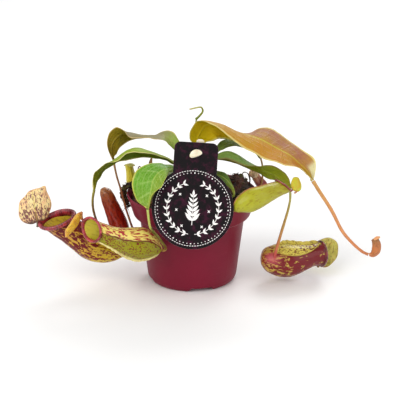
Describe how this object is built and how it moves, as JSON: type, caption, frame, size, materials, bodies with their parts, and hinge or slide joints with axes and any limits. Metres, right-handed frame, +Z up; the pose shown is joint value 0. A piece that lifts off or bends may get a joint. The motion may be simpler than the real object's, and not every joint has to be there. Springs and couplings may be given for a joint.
{
  "type": "potted pitcher plant",
  "caption": "Carnivorous house plant with arching leaves, hanging tendrils and hollow lidded pitchers, in a plastic nursery pot with a round card tag on a stake.",
  "frame": {"origin": "middle of the pot's underside, on the flat pad that it stands on", "axes": "+Z up, -Y the front with the tag, +X to the right seen from the front"},
  "size_m": [0.3363, 0.1342, 0.1667],
  "materials": {
    "pot_plastic": "semi-matte moulded burgundy",
    "potting_mix": "rough dark potting mix",
    "moss": "dark dry moss",
    "tag_card": null,
    "tag_stake": "cream moulded plastic",
    "woody_stem": "olive woody stem",
    "leaf_green": "glossy green leaf",
    "leaf_bronze": "bronze leaf with a cream margin",
    "tendril": "smooth tendril, green to red-brown",
    "pitcher_spotted": "yellow and maroon mottled pitcher",
    "pitcher_yellow": "pale yellow-green pitcher",
    "pitcher_dark": "glossy dark red pitcher",
    "dried": "dry brown leaf"
  },
  "bodies": {
    "root": {"pot": "pot_plastic", "stem": "woody_stem", "soil": "potting_mix", "tag": "tag_card", "tag_stake": "tag_stake", "leaf_back_left": "leaf_bronze", "leaf_left": "leaf_green", "leaf_front_left": "leaf_green", "leaf_right": "leaf_bronze", "leaf_back_right": "leaf_green", "leaf_low_right": "leaf_green", "leaf_front_right": "leaf_green", "leaf_newest": "leaf_green", "leaf_low_back": "leaf_green", "pitcher_far_left": "pitcher_spotted", "lid_far_left": "pitcher_spotted", "pitcher_front_left": "pitcher_spotted", "lid_front_left": "pitcher_spotted", "pitcher_right": "pitcher_yellow", "lid_right": "pitcher_yellow", "pitcher_low_right": "pitcher_spotted", "lid_low_right": "pitcher_spotted", "pitcher_dark": "pitcher_dark", "pitcher_back_left": "pitcher_yellow", "lid_back_left": "pitcher_yellow", "pitcher_back_right": "pitcher_dark", "lid_back_right": "dried", "pitcher_bud": "tendril", "lid_bud": "tendril", "moss_left": "moss", "moss_right": "moss", "dried_leaf": "dried", "dried_curl_left": "dried", "dried_curl_right": "dried", "tendril_back_left": "tendril", "tendril_left": "tendril", "tendril_front_left": "tendril", "tendril_right": "tendril", "tendril_back_right": "tendril", "tendril_low_right": "tendril", "tendril_front_right": "tendril", "tendril_newest": "tendril", "tendril_low_back": "tendril"}
  },
  "joints": []
}
